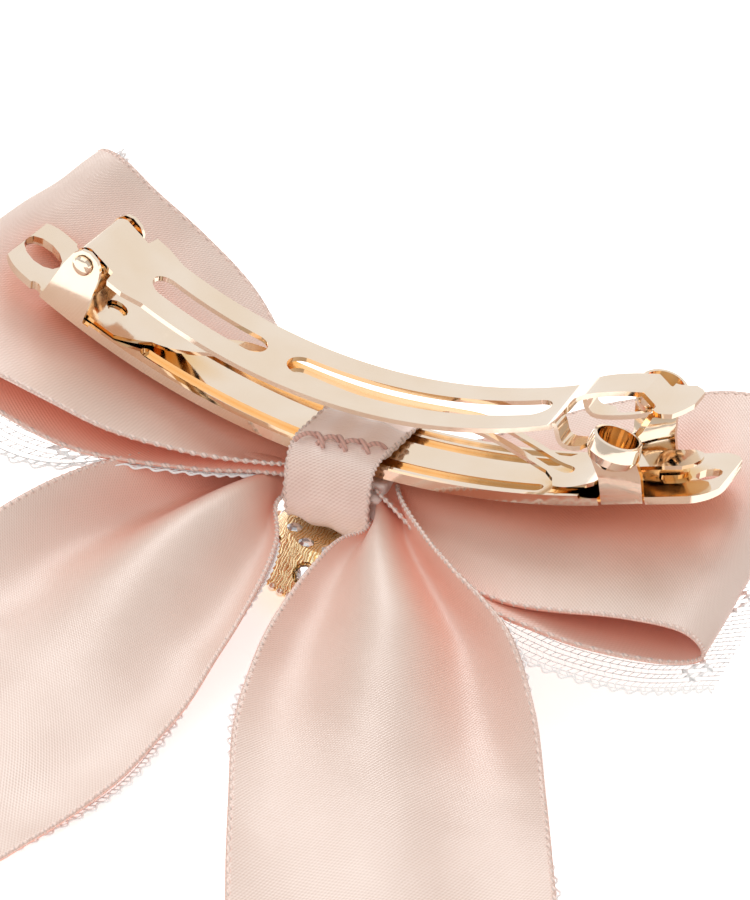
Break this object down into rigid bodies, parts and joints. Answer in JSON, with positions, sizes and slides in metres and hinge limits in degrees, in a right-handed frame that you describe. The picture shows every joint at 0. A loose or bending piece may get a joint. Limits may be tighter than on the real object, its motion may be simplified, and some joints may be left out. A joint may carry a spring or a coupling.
{
  "type": "ribbon bow barrette",
  "caption": "Gold spring barrette with a hinged arm and squeeze catch, carrying a pink satin and lace ribbon bow with a jewelled oval ornament and long tails.",
  "frame": {"origin": "centre of the oval ornament's flat front, on the surface that the bow lies on face down", "axes": "+X along the clasp from its hinge to its catch, +Y across the clasp away from the tails, +Z from the bow's front to the hair side"},
  "size_m": [0.1117, 0.1064, 0.0328],
  "materials": {
    "gold": "polished",
    "satin": "satin",
    "lace": "matte",
    "thread": "matte",
    "crystal": "polished"
  },
  "bodies": {
    "base": {"base_plate": "gold", "hinge_rivet_near": "gold", "hinge_rivet_far": "gold", "satin_loop_left": "satin", "satin_loop_right": "satin", "lace_loop_left": "lace", "lace_loop_right": "lace", "satin_tail_left": "satin", "satin_tail_right": "satin", "lace_tail_left": "lace", "lace_tail_right": "lace", "knot_gathers": "satin", "centre_wrap": "satin", "wrap_stitch_1": "thread", "wrap_stitch_2": "thread", "wrap_stitch_3": "thread", "wrap_stitch_4": "thread", "wrap_stitch_5": "thread", "wrap_stitch_6": "thread", "wrap_stitch_7": "thread", "ornament_plate": "gold", "rhinestone_centre": "crystal", "rhinestone_front_1": "crystal", "rhinestone_front_2": "crystal", "rhinestone_front_3": "crystal", "rhinestone_front_4": "crystal", "rhinestone_front_5": "crystal", "rhinestone_front_6": "crystal", "rhinestone_side_1": "crystal", "rhinestone_side_2": "crystal", "rhinestone_side_3": "crystal", "rhinestone_side_4": "crystal", "rhinestone_side_5": "crystal", "rhinestone_side_6": "crystal", "rhinestone_side_7": "crystal", "rhinestone_side_8": "crystal"},
    "arm": {"top_arm": "gold"},
    "leaf": {"spring_leaf": "gold"},
    "leg_near": {"catch_leg_near": "gold"},
    "leg_far": {"catch_leg_far": "gold"}
  },
  "joints": [
    {"name": "arm_hinge", "type": "hinge", "parent": "base", "child": "arm", "pos_m": [-0.03043, 0, 0.02863], "axis": [0, -1, 0], "range_deg": [0, 75]},
    {"name": "leaf_rise", "type": "hinge", "parent": "base", "child": "leaf", "pos_m": [-0.03023, 0, 0.02243], "axis": [0, -1, 0], "range_deg": [0, 6]},
    {"name": "leg_near_flex", "type": "hinge", "parent": "base", "child": "leg_near", "pos_m": [0.0307, -0.0047, 0.02171], "axis": [0.935, 0, 0.3546], "range_deg": [0, 6], "stiffness_Nm_per_rad": 0.02},
    {"name": "leg_far_flex", "type": "hinge", "parent": "base", "child": "leg_far", "pos_m": [0.0307, 0.0047, 0.02171], "axis": [-0.935, 0, -0.3546], "range_deg": [0, 6], "stiffness_Nm_per_rad": 0.02}
  ],
  "couplings": [
    {"joint": "leaf_rise", "follows": "arm_hinge", "ratio": 0.08},
    {"joint": "leg_far_flex", "follows": "leg_near_flex", "ratio": 1}
  ]
}
